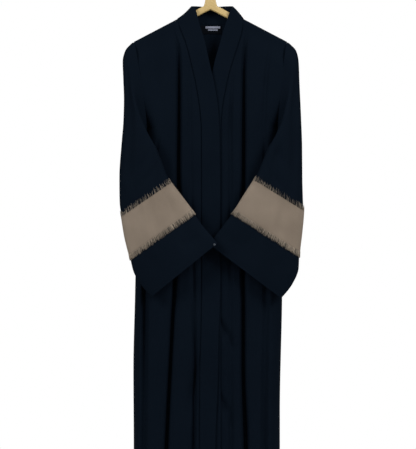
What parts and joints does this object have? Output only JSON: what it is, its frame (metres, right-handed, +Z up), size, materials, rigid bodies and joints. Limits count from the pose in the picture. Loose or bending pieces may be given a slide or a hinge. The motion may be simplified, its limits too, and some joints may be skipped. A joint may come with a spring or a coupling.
{
  "type": "abaya on a wooden hanger",
  "caption": "Long open front abaya with a folded front band, crossed wide sleeves with fringed taupe bands, hanging on a wooden hanger.",
  "frame": {"origin": "the inside top of the hook, where it rests on a rod", "axes": "+Z up, -Y the way the garment's front faces, +X to the wearer's left"},
  "size_m": [0.4981, 0.1438, 1.5393],
  "materials": {
    "crepe": "matt black crepe",
    "woven_band": "woven taupe band",
    "fringe": "frayed taupe threads",
    "label": "woven satin label",
    "stud": "smooth dark stud",
    "wood": "clear satin varnish",
    "wire": "bright zinc"
  },
  "bodies": {
    "root": {"right_front_panel": "crepe", "right_front_band": "crepe", "right_sleeve": "crepe", "right_cuff_band": "woven_band", "right_fringe_upper": "fringe", "right_fringe_lower": "fringe", "left_front_panel": "crepe", "left_front_band": "crepe", "left_sleeve": "crepe", "left_cuff_band": "woven_band", "left_fringe_upper": "fringe", "left_fringe_lower": "fringe", "back_panel": "crepe", "neck_band": "crepe", "neck_label": "label", "cuff_stud": "stud", "hanger_arms": "wood", "hanger_hook": "wire"}
  },
  "joints": []
}
